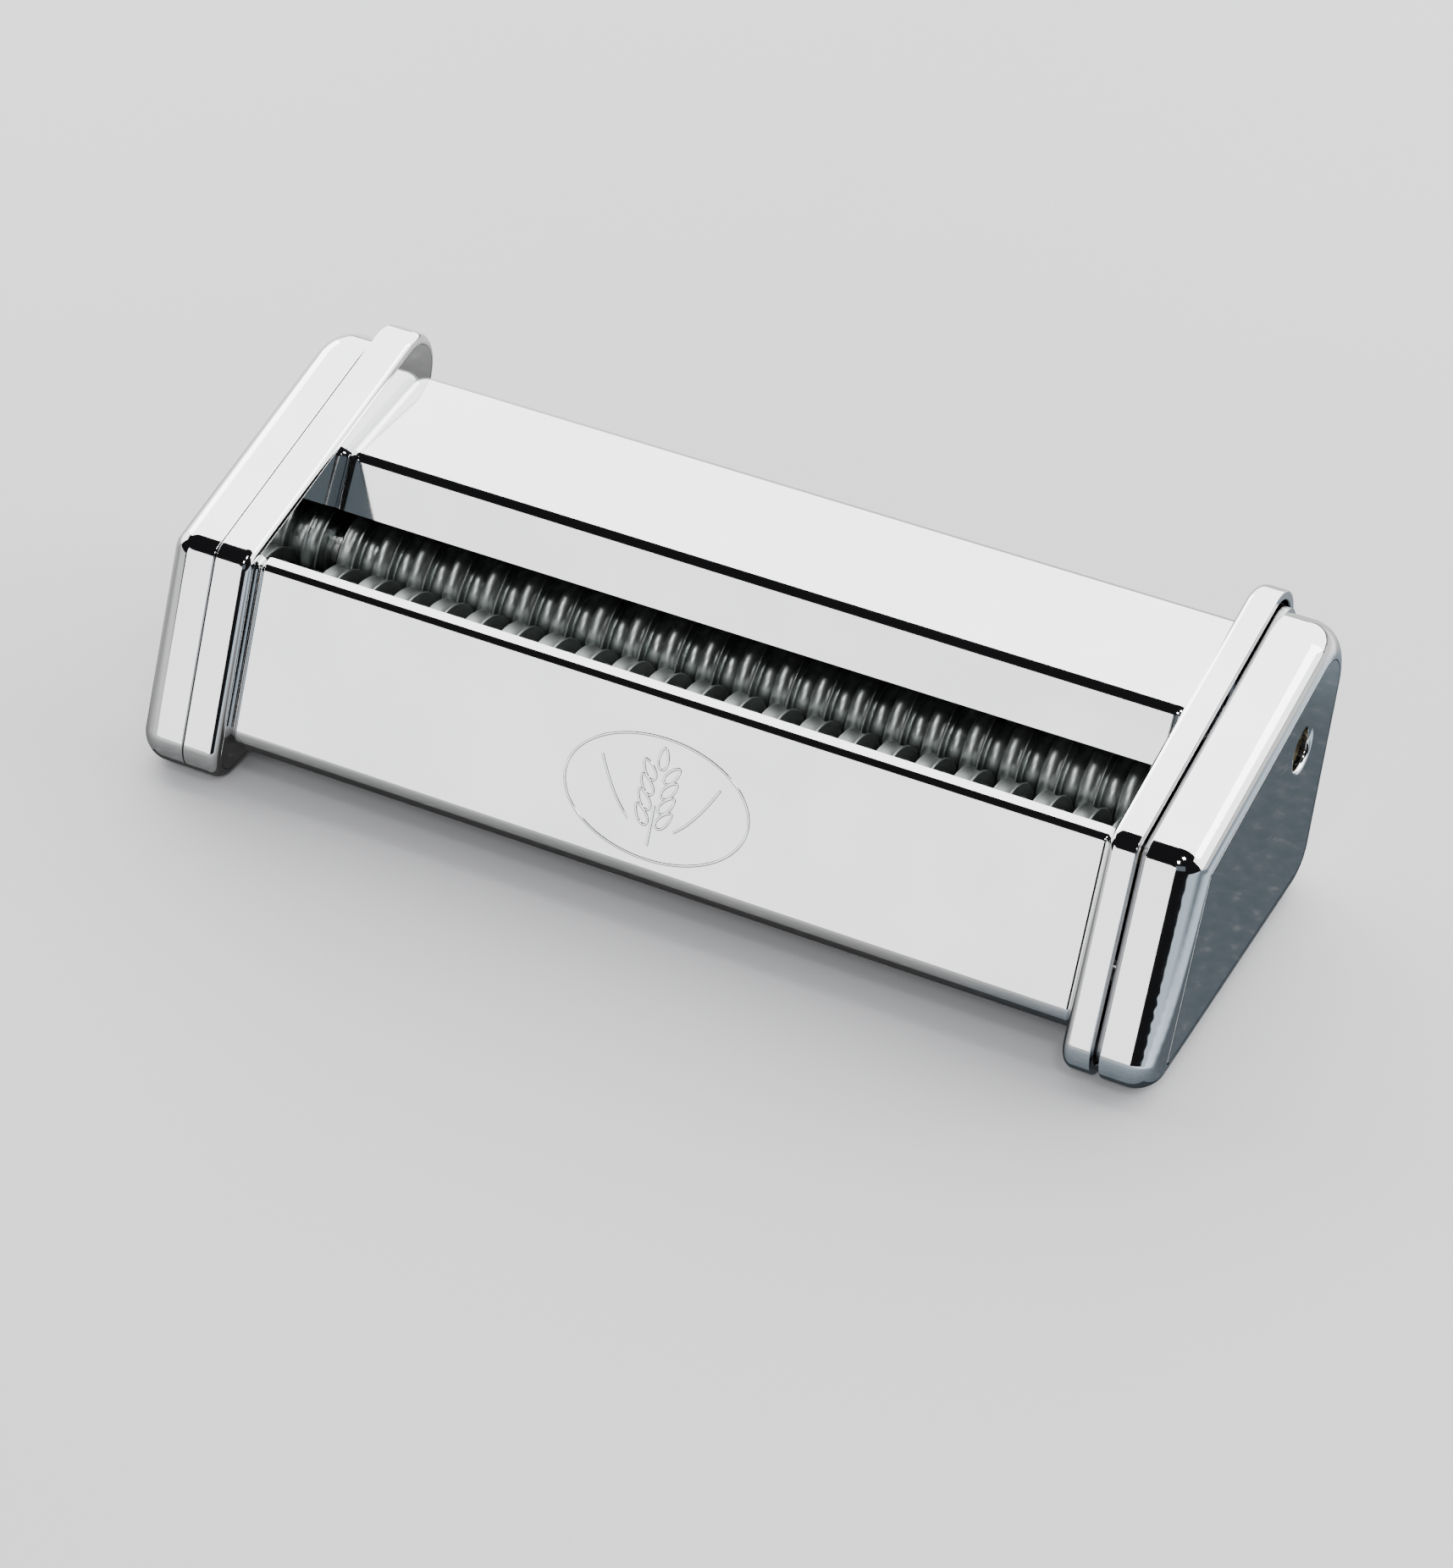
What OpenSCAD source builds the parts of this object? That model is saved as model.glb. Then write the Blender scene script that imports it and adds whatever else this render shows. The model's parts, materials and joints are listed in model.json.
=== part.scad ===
/* [Overall] */
// Distance between the inner faces of the two end bezels
inner_w = 158; // [150:1:170]
// Distance from a bezel's inner face to the cap seam
seam_depth = 6.8; // [6.7:0.1:7.2]
// Distance from a bezel's inner face to the outer face of its end cap
end_depth = 16.5; // [16.4:0.1:18]

/* [Side outline] */
// Lean of the front face, from the table
front_angle = 65.4; // [64:0.2:68]
// Slope of the top face
top_angle = 11.8; // [11:0.2:13]
// Lean of the back face, from the table
back_angle = 73.3; // [72:0.1:75]
// Length of the leaning front face between its sharp corners
front_len = 43.3; // [43:0.1:45]
// Length of the base between its sharp corners
base_len = 68.8; // [68:0.1:71]
// Rounding of the ridge between front and top
ridge_r = 4.5; // [2:0.5:5]
// Rounding of the bezels' high back corner
crown_r = 7.8; // [7:0.1:8.5]
// Rounding of the end caps' high back corner
cap_crown_r = 11.4; // [9:0.1:12]
// Rounding of the low back corner
heel_r = 9.7; // [8:0.1:11]
// Rounding of the low front corner
toe_r = 5.4; // [5:0.1:6]
// Rounding between an end cap's side face and its rim
cap_edge_r = 5.3; // [4:0.1:5.5]

/* [Shells and sheets] */
// Wall of the end caps and bezels
shell_t = 1.6; // [1.4:0.1:1.7]
// Thickness of the bent cover sheets
sheet_t = 0.8; // [0.6:0.1:1]
// How far the front cover lies behind the bezel rims
front_inset = 3.2; // [2.8:0.1:3.4]
// How far the rear cover's back lies inside the bezel rims
back_inset = 3; // [2.6:0.1:3.2]
// Height of the fold between the front cover's face and its lip
fold_z = 36.9; // [36.6:0.1:37.4]
// Height of the ridge between the funnel and the rear cover's top
funnel_top_z = 41.6; // [41.2:0.1:42]
// Thickness of the steel side plates
plate_t = 1.3; // [1.2:0.05:1.35]

/* [Cutting rollers] */
// Outer radius of the rollers
roller_r = 10.15; // [10:0.05:10.2]
// Distance between the two roller axes
axis_gap = 19; // [18.8:0.1:19.2]
// How far the front roller's axis lies behind the sharp low front corner
front_axis_y = 31.65; // [31.4:0.05:31.8]
// Height of both roller axes
axis_z = 19.3; // [19.2:0.1:19.6]
// Pitch of the cutting rings
ring_pitch = 7.04; // [7:0.01:7.05]
// Number of cutting rings on each roller
ring_count = 22; // [21, 22]
// Width of one cutting ring
ring_w = 3.3; // [3.1:0.05:3.4]
// Depth of the grooves between the rings
groove_depth = 2.3; // [2.1:0.1:2.5]
// Radius of the concave channel in every ring and groove
channel_r = 2.1; // [2:0.1:2.4]
// Radius of the roller shafts
shaft_r = 4; // [3.8:0.1:4.2]

/* [Drive] */
// Width of the gears
gear_w = 4.4; // [4:0.1:4.4]
// Direction from the rear roller's axis to the crank spindle
spindle_angle = 56.4; // [54:0.1:58]
// Radius of the crank spindle
spindle_r = 4; // [3.8:0.1:4.1]
// Radius of the socket that takes the crank's shank
socket_r = 2.7; // [2.5:0.1:2.8]
// Radius of the crank hole in the right end cap
crank_hole_r = 3.8; // [3.6:0.1:4.6]

/* [Hidden] */
$fn = 64;

// fits and small clearances
push_fit = 0.01;
running_fit = 0.04;
rod_fit = 0.1;
side_play = 0.1;

// where the lines through p at angle a and through q at angle b cross
function meet(p, a, q, b) =
    p + [cos(a), sin(a)] * ((q - p) * [sin(b), -cos(b)]) / sin(b - a);
// a corner moved inwards by da from the face at angle a and by db from the face at angle b
function inner_corner(p, a, da, b, db) =
    meet(p + da * [sin(a), -cos(a)], a, p + db * [sin(b), -cos(b)], b);

// sharp corners of the side outline; the faces run base, front, top, back, each turning right
base_face = 180;
front_face = front_angle;
top_face = top_angle;
back_face = back_angle - 180;
toe = [0, 0];
heel = [base_len, 0];
ridge = front_len * [cos(front_angle), sin(front_angle)];
crown = meet(ridge, top_angle, heel, back_angle);

// each point of a path is [place, outward normal]
function path_point(p, a) = [p, [-sin(a), cos(a)]];
function bend(p, a, b, r, steps = 8) =
    let (centre = inner_corner(p, a, r, b, r))
    [for (i = [0:steps])
        let (t = a + (b - a) * i / steps)
        path_point(centre + r * [-sin(t), cos(t)], t)];
function places(path) = [for (q = path) q[0]];

// the rounded side outline, moved inwards by d
least_corner_r = 0.6;
function corner_bend(p, a, b, r, d) =
    bend(inner_corner(p, a, d, b, d), a, b, max(r - d, least_corner_r));
function outline_points(d, high_r = crown_r) = places(concat(
    corner_bend(toe, base_face, front_face, toe_r, d),
    corner_bend(ridge, front_face, top_face, ridge_r, d),
    corner_bend(crown, top_face, back_face, high_r, d),
    corner_bend(heel, back_face, -base_face, heel_r, d)
));
outline_min_y = inner_corner(toe, base_face, toe_r, front_face, toe_r)[0] - toe_r;
outline_max_y = inner_corner(crown, top_face, crown_r, back_face, crown_r)[0] + crown_r;
mid_y = (outline_min_y + outline_max_y) / 2;

// planes along the length
inner_x = inner_w / 2;
seam_x = inner_x + seam_depth;
outer_x = inner_x + end_depth;
closed_seam = 0.2;
open_seam = 1.5;
plate_x = inner_x + 5.4;
plate_out_x = plate_x + plate_t;
bush_flange_t = 0.9;
gear_x = plate_out_x + 1.7;
gear_out_x = gear_x + gear_w;
clip_t = 0.7;
clip_x = gear_out_x + 0.2;
shaft_end_x = clip_x + clip_t + 0.5;
boss_x = gear_out_x + 0.4;
cap_inside_x = outer_x - shell_t;

// axes in the side view
front_axis = [front_axis_y, axis_z];
rear_axis = front_axis + [axis_gap, 0];
nip_y = front_axis_y + axis_gap / 2;
roller_teeth = 15;
pinion_teeth = 11;
gear_module = axis_gap / roller_teeth;
spindle_gap = gear_module * (roller_teeth + pinion_teeth) / 2;
spindle_axis = rear_axis + spindle_gap * [cos(spindle_angle), sin(spindle_angle)];
comb_hub_r = 4;
comb_hub_angle = 140;
comb_gap = 0.4;
comb_reach = roller_r + comb_gap + comb_hub_r;
front_rod = front_axis + comb_reach * [cos(comb_hub_angle), -sin(comb_hub_angle)];
rear_rod = [2 * nip_y - front_rod[0], front_rod[1]];
back_rod = [66.5, 21.5];
rod_r = 2.5;

// puts a flat drawing (depth, height) upright, from x0 to x1 along the length
module upright(x0, x1) {
    translate([x0, -mid_y, 0])
        rotate([90, 0, 90])
            linear_extrude(x1 - x0) children();
}

// a round bar along the length
module bar(p, r, x0, x1) {
    upright(x0, x1) translate(p) circle(r);
}

module tube(p, r, bore_r, x0, x1) {
    upright(x0, x1) {
        difference() {
            translate(p) circle(r);
            translate(p) circle(bore_r);
        }
    }
}

module mirrored(on) {
    mirror([on ? 1 : 0, 0, 0]) children();
}

// a dished slab: full outline from x0, rounded towards its side face at x1
module dished(x0, x1, d, r) {
    hull() {
        for (a = [0:22.5:90])
            upright(x0, x1 - r * (1 - sin(a)))
                polygon(outline_points(d + r * (1 - cos(a)), cap_crown_r));
    }
}

// end cap, drawn for the right end
module cap_shell() {
    difference() {
        dished(seam_x, outer_x, 0, cap_edge_r);
        dished(seam_x - 1, cap_inside_x, shell_t, cap_edge_r - shell_t);
    }
}

// bezel, drawn for the right end
module bezel(depth) {
    difference() {
        upright(inner_x, inner_x + depth) polygon(outline_points(0));
        upright(inner_x + shell_t, inner_x + depth + 1) polygon(outline_points(shell_t));
        for (p = [front_axis, rear_axis])
            bar(p, shaft_r + 0.6, inner_x - 1, plate_x);
        for (p = [front_rod, rear_rod, back_rod])
            bar(p, rod_r + rod_fit, inner_x - 1, plate_x);
    }
}

// spring tab of a side plate that grips inside the end cap: one on each straight face
tab_l = 9;
tab_t = 0.8;
module grip_tabs(d) {
    reach_x = plate_out_x + 5;
    faces = [[ridge * 0.5, front_face], [(ridge + crown) * 0.5, top_face], [(heel + toe) * 0.5, base_face]];
    for (f = faces)
        upright(plate_x, reach_x)
            translate(f[0]) rotate(f[1]) translate([-tab_l / 2, -d - tab_t]) square([tab_l, tab_t]);
}

// side plate, drawn for the right end
module side_plate(d) {
    bush_bore = bush_r + push_fit;
    difference() {
        union() {
            upright(plate_x, plate_out_x) polygon(outline_points(d));
            grip_tabs(max(d, shell_t) + side_play);
        }
        for (p = [front_axis, rear_axis, spindle_axis])
            bar(p, bush_bore, plate_x - 1, plate_out_x + 1);
        for (p = [front_rod, rear_rod, back_rod])
            bar(p, rod_r + rod_fit, plate_x - 1, plate_out_x + 1);
    }
}

// cross-section of a bent sheet that lies from depth d0 to depth d1 under its outer surface
module sheet_section(path, d0, d1) {
    polygon(concat(
        [for (q = path) q[0] - d0 * q[1]],
        [for (i = [len(path) - 1:-1:0]) path[i][0] - d1 * path[i][1]]
    ));
}

// outer surface of the front cover, from its rolled-under foot up to the lip of the slot
curl_z = 4.6;
curl_r = 4;
curl_flat = 4;
fold_r = 1.9;
lip_face = 6.5;
lip_len = 2.5;
curl = inner_corner(toe, base_face, curl_z, front_face, front_inset);
fold = meet(curl, front_face, [0, fold_z], 0);
foot_l = curl_flat + curl_r * tan((base_face - front_face) / 2);
front_path = concat(
    [path_point(curl + [foot_l, 0], base_face)],
    bend(curl, base_face, front_face, curl_r, 12),
    bend(fold, front_face, lip_face, fold_r),
    [path_point(fold + lip_len * [cos(lip_face), sin(lip_face)], lip_face)]
);

// outer surface of the rear cover, from the funnel's low edge over the top and down the back
funnel_face = 57;
funnel_l = 10.1;
funnel_top = [50.3, funnel_top_z];
funnel_top_r = 2.6;
cover_top_face = 4.4;
rear_bend_r = 4.6;
back_low_z = 9;
rear_corner = meet(
    funnel_top, cover_top_face,
    heel + back_inset * [sin(back_face), -cos(back_face)], back_face
);
back_low = meet(rear_corner, back_angle, [0, back_low_z], 0);
rear_path = concat(
    [path_point(funnel_top - funnel_l * [cos(funnel_face), sin(funnel_face)], funnel_face)],
    bend(funnel_top, funnel_face, cover_top_face, funnel_top_r),
    bend(rear_corner, cover_top_face, back_face, rear_bend_r, 12),
    [path_point(back_low, back_face)]
);
cover_half = inner_x - push_fit;

// flanged bush of a side plate, drawn for the right end
bush_r = 6;
bush_flange_r = 7.2;
module bush(p, r, x0) {
    tube(p, bush_r, r + running_fit, x0, plate_out_x);
    tube(p, bush_flange_r, r + running_fit, plate_out_x, plate_out_x + bush_flange_t);
}
long_bush_x = plate_x - 3;
short_bush_x = plate_x - 1;

// comb: a tube on its tie rod with one finger in each groove of the front roller
finger_w = 2.8;
finger_tip = 55;
finger_t = 3;
comb_half = inner_x - side_play;
module comb_finger() {
    core_r = roller_r - groove_depth;
    sweep = 2 * roller_r;
    intersection() {
        difference() {
            circle(core_r + comb_gap + finger_t);
            circle(core_r + comb_gap);
        }
        polygon([
            [0, 0],
            for (a = [-comb_hub_angle - 5, -(comb_hub_angle + finger_tip) / 2, -finger_tip])
                sweep * [cos(a), sin(a)]
        ]);
    }
}
module comb(side) {
    tube(front_rod, comb_hub_r, rod_r + rod_fit, -comb_half, comb_half);
    for (x = groove_places(side))
        upright(x - finger_w / 2, x + finger_w / 2) translate(front_axis) comb_finger();
}

// cutting roller about its own axis; both rollers are alike, one turned end for end (side 1 or -1)
roller_half = inner_x - 1.3;
rim_flat = 0.2;
rollers_x = 0.25;
function ring_places(side) =
    [for (i = [0:ring_count - 1])
        (i - (ring_count - 1) / 2) * ring_pitch + side * ring_pitch / 4 + rollers_x];
function groove_places(side) =
    [for (x = ring_places(side)) x - side * ring_pitch / 2];
module channel(r, x, w) {
    sink = sqrt(pow(channel_r, 2) - pow(w / 2 - rim_flat, 2));
    translate([r + sink, x]) circle(channel_r);
}
module roller_profile(side) {
    core_r = roller_r - groove_depth;
    groove_w = ring_pitch - ring_w;
    bore = shaft_r + push_fit;
    intersection() {
        difference() {
            union() {
                translate([bore, -roller_half]) square([core_r - bore, 2 * roller_half]);
                for (x = ring_places(side))
                    translate([bore, x - ring_w / 2]) square([roller_r - bore, ring_w]);
            }
            for (x = ring_places(side)) channel(roller_r, x, ring_w);
            for (x = groove_places(side)) channel(core_r, x, groove_w);
        }
        translate([0, -roller_half]) square([roller_r + 1, 2 * roller_half]);
    }
}
module roller(p, side) {
    translate([0, p[0] - mid_y, p[1]])
        rotate([0, 90, 0])
            rotate_extrude($fn = 96) roller_profile(side);
}

washer_r = 6.4;
washer_t = 1.2;
module washers(p) {
    x0 = roller_half + push_fit;
    for (side = [0, 1])
        mirrored(side == 1) tube(p, washer_r, shaft_r + push_fit, x0, x0 + washer_t);
}

// spring clip: a split ring on a shaft
clip_r = 5.8;
module clip(p, r, x0) {
    upright(x0, x0 + clip_t) {
        translate(p) {
            difference() {
                circle(clip_r);
                circle(r + push_fit);
                translate([-r / 2, -clip_r - 1]) square([r, clip_r + 1]);
            }
        }
    }
}

// involute gear drawing with a tooth centred on angle zero
pressure_angle = 25;
tooth_backlash = 0.22;
addendum = 0.85;
dedendum = 1.1;
flank_steps = 5;
function involute(a) = tan(a) * 180 / PI - a;
function flank_angle(r, pitch_r, half_tooth) =
    let (base_r = pitch_r * cos(pressure_angle))
    half_tooth + involute(pressure_angle) - involute(acos(min(base_r / max(r, base_r), 1)));
module gear_shape(teeth, bore_r) {
    pitch_r = gear_module * teeth / 2;
    base_r = pitch_r * cos(pressure_angle);
    root_r = pitch_r - dedendum * gear_module;
    tip_r = pitch_r + addendum * gear_module;
    half_tooth = (PI * gear_module / 2 - tooth_backlash) / (2 * pitch_r) * 180 / PI;
    start_r = max(base_r, root_r);
    radii = concat([root_r], [for (i = [0:flank_steps]) start_r + (tip_r - start_r) * i / flank_steps]);
    flank = [for (r = radii) [r, flank_angle(r, pitch_r, half_tooth)]];
    difference() {
        polygon([
            for (i = [0:teeth - 1])
                let (mid = i * 360 / teeth)
                each concat(
                    [for (f = flank) f[0] * [cos(mid - f[1]), sin(mid - f[1])]],
                    [for (k = [len(flank) - 1:-1:0])
                        flank[k][0] * [cos(mid + flank[k][1]), sin(mid + flank[k][1])]]
                )
        ]);
        circle(bore_r + push_fit);
    }
}
module gear(p, teeth, bore_r, turn) {
    upright(gear_x, gear_out_x)
        translate(p) rotate(turn) gear_shape(teeth, bore_r);
}
roller_half_tooth = 180 / roller_teeth;
drive_turn = spindle_angle + roller_half_tooth;

nut_r = 4;
nut_t = 1.4;
rod_end_x = plate_out_x + nut_t + 0.1;
module tie_rod(p) { bar(p, rod_r, -rod_end_x, rod_end_x); }

module left_end_cap() { color("gainsboro") mirrored(true) cap_shell(); }

lip_t = 0.9;
module right_end_cap() {
    hole = [spindle_axis[0] - mid_y, spindle_axis[1]];
    color("gainsboro") {
        difference() {
            cap_shell();
            bar(spindle_axis, crank_hole_r, cap_inside_x - 1, outer_x + 1);
            translate([outer_x - lip_t, hole[0], hole[1]])
                rotate([0, 90, 0]) cylinder(r1 = crank_hole_r, r2 = crank_hole_r + 2 * lip_t, h = 2 * lip_t);
        }
    }
}

module left_bezel() { color("silver") mirrored(true) bezel(seam_depth - closed_seam); }
module right_bezel() { color("silver") bezel(seam_depth - open_seam); }
module left_side_plate() { color("darkgray") mirrored(true) side_plate(shell_t + side_play); }

module right_side_plate() {
    edge_inset = 2.6;
    lug = [2, 3];
    color("darkgray") {
        side_plate(edge_inset);
        upright(plate_x, plate_out_x) translate([toe_r + 2, 0.1]) square(lug);
    }
}

module front_cover() {
    color("whitesmoke") upright(-cover_half, cover_half) sheet_section(front_path, 0, sheet_t);
}

module rear_cover() {
    color("whitesmoke") upright(-cover_half, cover_half) sheet_section(rear_path, 0, sheet_t);
}

module front_comb() { color("dimgray") comb(1); }

module rear_comb() {
    flip_y = 2 * (nip_y - mid_y);
    color("dimgray") translate([0, flip_y, 0]) mirror([0, 1, 0]) comb(-1);
}

module front_tie_rod() { color("slategray") tie_rod(front_rod); }
module rear_tie_rod() { color("slategray") tie_rod(rear_rod); }
module back_tie_rod() { color("slategray") tie_rod(back_rod); }

module back_spacer_tube() {
    color("slategray") tube(back_rod, comb_hub_r, rod_r + rod_fit, -comb_half, comb_half);
}

module tie_rod_nuts() {
    color("goldenrod")
        for (side = [0, 1])
            for (p = [front_rod, rear_rod, back_rod])
                mirrored(side == 1)
                    upright(plate_out_x + push_fit, plate_out_x + nut_t) {
                        translate(p) {
                            difference() {
                                circle(nut_r, $fn = 6);
                                circle(rod_r + push_fit);
                            }
                        }
                    }
}

module front_left_bush() { color("peru") mirrored(true) bush(front_axis, shaft_r, long_bush_x); }
module front_right_bush() { color("peru") bush(front_axis, shaft_r, long_bush_x); }
module rear_left_bush() { color("peru") mirrored(true) bush(rear_axis, shaft_r, long_bush_x); }
module rear_right_bush() { color("peru") bush(rear_axis, shaft_r, long_bush_x); }
module spindle_inner_bush() { color("peru") bush(spindle_axis, spindle_r, short_bush_x); }

boss_r = 7;
outer_bush_r = 5.2;
module spindle_boss() {
    color("gainsboro")
        tube(spindle_axis, boss_r, outer_bush_r + push_fit, boss_x, cap_inside_x - push_fit);
}

module spindle_outer_bush() {
    color("peru") tube(spindle_axis, outer_bush_r, spindle_r + running_fit, boss_x, cap_inside_x - push_fit);
}

module front_roller() {
    color("slategray") roller(front_axis, 1);
}

module front_shaft() {
    color("lightslategray") bar(front_axis, shaft_r, -shaft_end_x, gear_x + clip_t + 0.7);
}

module front_timing_gear() { color("gray") mirrored(true) gear(front_axis, roller_teeth, shaft_r, 0); }
module front_washers() { color("darkgray") washers(front_axis); }

module front_shaft_clips() {
    color("black") {
        mirrored(true) clip(front_axis, shaft_r, clip_x);
        clip(front_axis, shaft_r, gear_x);
    }
}

module rear_roller() {
    color("slategray") roller(rear_axis, -1);
}

module rear_shaft() { color("lightslategray") bar(rear_axis, shaft_r, -shaft_end_x, shaft_end_x); }

module rear_timing_gear() {
    color("gray") mirrored(true) gear(rear_axis, roller_teeth, shaft_r, roller_half_tooth + 180);
}

module rear_drive_gear() { color("gray") gear(rear_axis, roller_teeth, shaft_r, drive_turn); }
module rear_washers() { color("darkgray") washers(rear_axis); }

module rear_shaft_clips() {
    color("black")
        for (side = [0, 1])
            mirrored(side == 1) clip(rear_axis, shaft_r, clip_x);
}

// crank spindle with a round socket and a cross slot across its mouth
socket_l = 9.3;
slot_w = 1.4;
slot_l = 2;
spindle_end_x = outer_x - 2.2;
spindle_start_x = plate_x - 3;
module crank_spindle() {
    color("lightslategray") {
        difference() {
            bar(spindle_axis, spindle_r, spindle_start_x, spindle_end_x);
            bar(spindle_axis, socket_r, spindle_end_x - socket_l, spindle_end_x + 1);
            for (a = [0, 90])
                upright(spindle_end_x - slot_l, spindle_end_x + 1)
                    translate(spindle_axis) rotate(spindle_angle + a)
                        square([2 * spindle_r + 1, slot_w], center = true);
        }
    }
}

module crank_pinion() {
    color("gray") gear(spindle_axis, pinion_teeth, spindle_r, spindle_angle + 180);
}

module spindle_clip() { color("black") clip(spindle_axis, spindle_r, short_bush_x - clip_t - 0.2); }

left_end_cap();
right_end_cap();
left_bezel();
right_bezel();
left_side_plate();
right_side_plate();
front_cover();
rear_cover();
front_comb();
rear_comb();
front_tie_rod();
rear_tie_rod();
back_tie_rod();
back_spacer_tube();
tie_rod_nuts();
front_left_bush();
front_right_bush();
rear_left_bush();
rear_right_bush();
spindle_inner_bush();
spindle_outer_bush();
spindle_boss();
front_roller();
front_shaft();
front_timing_gear();
front_washers();
front_shaft_clips();
rear_roller();
rear_shaft();
rear_timing_gear();
rear_drive_gear();
rear_washers();
rear_shaft_clips();
crank_spindle();
crank_pinion();
spindle_clip();
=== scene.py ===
import json
import math

import bpy
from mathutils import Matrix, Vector
from mathutils.geometry import tessellate_polygon

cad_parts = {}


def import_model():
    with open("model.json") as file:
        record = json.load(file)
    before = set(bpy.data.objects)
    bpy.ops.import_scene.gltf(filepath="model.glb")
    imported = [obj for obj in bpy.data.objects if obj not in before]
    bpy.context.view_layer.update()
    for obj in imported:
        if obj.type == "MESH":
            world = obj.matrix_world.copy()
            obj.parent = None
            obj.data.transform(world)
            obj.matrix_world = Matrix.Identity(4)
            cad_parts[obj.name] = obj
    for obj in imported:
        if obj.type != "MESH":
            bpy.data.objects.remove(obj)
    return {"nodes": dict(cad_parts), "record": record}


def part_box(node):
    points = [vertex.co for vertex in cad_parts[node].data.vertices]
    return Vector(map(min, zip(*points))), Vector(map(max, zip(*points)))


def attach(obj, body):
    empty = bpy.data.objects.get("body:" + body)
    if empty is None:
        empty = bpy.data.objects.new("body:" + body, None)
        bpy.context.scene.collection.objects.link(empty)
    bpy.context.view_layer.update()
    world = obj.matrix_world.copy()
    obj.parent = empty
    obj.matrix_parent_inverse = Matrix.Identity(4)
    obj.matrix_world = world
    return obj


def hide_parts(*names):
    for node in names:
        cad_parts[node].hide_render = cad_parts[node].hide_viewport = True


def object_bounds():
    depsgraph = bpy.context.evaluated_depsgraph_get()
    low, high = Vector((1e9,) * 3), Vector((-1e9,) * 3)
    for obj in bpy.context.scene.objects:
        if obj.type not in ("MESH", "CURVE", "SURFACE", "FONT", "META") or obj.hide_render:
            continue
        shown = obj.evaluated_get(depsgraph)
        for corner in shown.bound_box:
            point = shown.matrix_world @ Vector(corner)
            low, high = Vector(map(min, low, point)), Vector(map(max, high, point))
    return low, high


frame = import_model()
cad_lo, cad_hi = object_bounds()
nodes = frame["nodes"]
joints = {j["name"]: j for j in frame["record"]["behaviour"]["joints"]}
MM = 0.001

# ---------------------------------------------------------------- side outline, in millimetres
# y runs back from the sharp low front corner, z up; the faces run base, front, top, back
FRONT, TOP, BACK, BASE = 65.4, 11.8, 73.3, 180.0
FRONT_LEN, BASE_LEN = 43.3, 68.8
RIDGE_R, CROWN_R, HEEL_R, TOE_R = 4.5, 7.8, 9.7, 5.4
CAP_CROWN_R = 11.4
WALL, SHEET = 1.6, 0.8
CORNER_STEPS = 14


def unit(a):
    return Vector((math.cos(math.radians(a)), math.sin(math.radians(a))))


def inward(a):
    u = unit(a)
    return Vector((u.y, -u.x))


def meet(p, a, q, b):
    """Where the line through p at angle a crosses the line through q at angle b."""
    s = (q - p).dot(Vector((unit(b).y, -unit(b).x))) / math.sin(math.radians(b - a))
    return p + unit(a) * s


def inner_corner(p, a, da, b, db):
    return meet(p + da * inward(a), a, p + db * inward(b), b)


def bend(p, a, b, r, steps=CORNER_STEPS):
    """Points and outward normals of a corner p rounded with radius r between faces at a and b."""
    centre = inner_corner(p, a, r, b, r)
    out = []
    for i in range(steps + 1):
        n = -inward(a + (b - a) * i / steps)
        out.append((centre + r * n, n))
    return out


TOE, HEEL = Vector((0, 0)), Vector((BASE_LEN, 0))
RIDGE = FRONT_LEN * unit(FRONT)
CROWN = meet(RIDGE, TOP, HEEL, BACK)
LEAST_R = 0.6


def outline(d, crown_r=CROWN_R):
    """Points and outward normals of the side outline, moved inwards by d."""
    corners = (
        (TOE, BASE, FRONT, TOE_R), (RIDGE, FRONT, TOP, RIDGE_R),
        (CROWN, TOP, BACK - 180, crown_r), (HEEL, BACK - 180, -BASE, HEEL_R),
    )
    out = []
    for p, a, b, r in corners:
        out += bend(inner_corner(p, a, d, b, d), a, b, max(r - d, LEAST_R))
    return out


# the outline's place in the frame, and the lengths, come from the CAD nodes' boxes
MID_Y = min(p.x for p, _ in outline(0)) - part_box("right_end_cap")[0][1] / MM
INNER_X = -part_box("rear_cover")[0][0] / MM
CAP_X0, CAP_X1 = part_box("right_end_cap")[0][0] / MM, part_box("right_end_cap")[1][0] / MM
BEZEL_X1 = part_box("right_bezel")[1][0] / MM
LEFT_BEZEL_X1 = -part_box("left_bezel")[0][0] / MM


def axis_of(joint):
    pos = joints[joint]["pos_m"]
    return Vector((pos[1] / MM + MID_Y, pos[2] / MM))


REAR_AXIS, FRONT_AXIS = axis_of("rear_roller_spin"), axis_of("front_roller_spin")
SPINDLE = axis_of("crank_spindle_spin")


def node_centre(name):
    lo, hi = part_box(name)
    return Vector(((lo[1] + hi[1]) / 2 / MM + MID_Y, (lo[2] + hi[2]) / 2 / MM))


# ---------------------------------------------------------------- mesh building
class Profile:
    """A drawn line of straight and round stretches; its normals are on its left, two a stretch."""

    def __init__(self, start):
        self.points = [Vector(start)]
        self.normals = []

    def line(self, p):
        p = Vector(p)
        u = (p - self.points[-1]).normalized()
        n = Vector((-u.y, u.x))
        self.points.append(p)
        self.normals.append((n, n))
        return self

    def arc(self, centre, a0, a1, steps=8):
        centre = Vector(centre)
        r = (self.points[-1] - centre).length
        side = -1 if a1 > a0 else 1
        for i in range(steps):
            ends = [unit(a0 + (a1 - a0) * k / steps) for k in (i, i + 1)]
            self.points.append(centre + r * ends[1])
            self.normals.append((side * ends[0], side * ends[1]))
        return self


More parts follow.
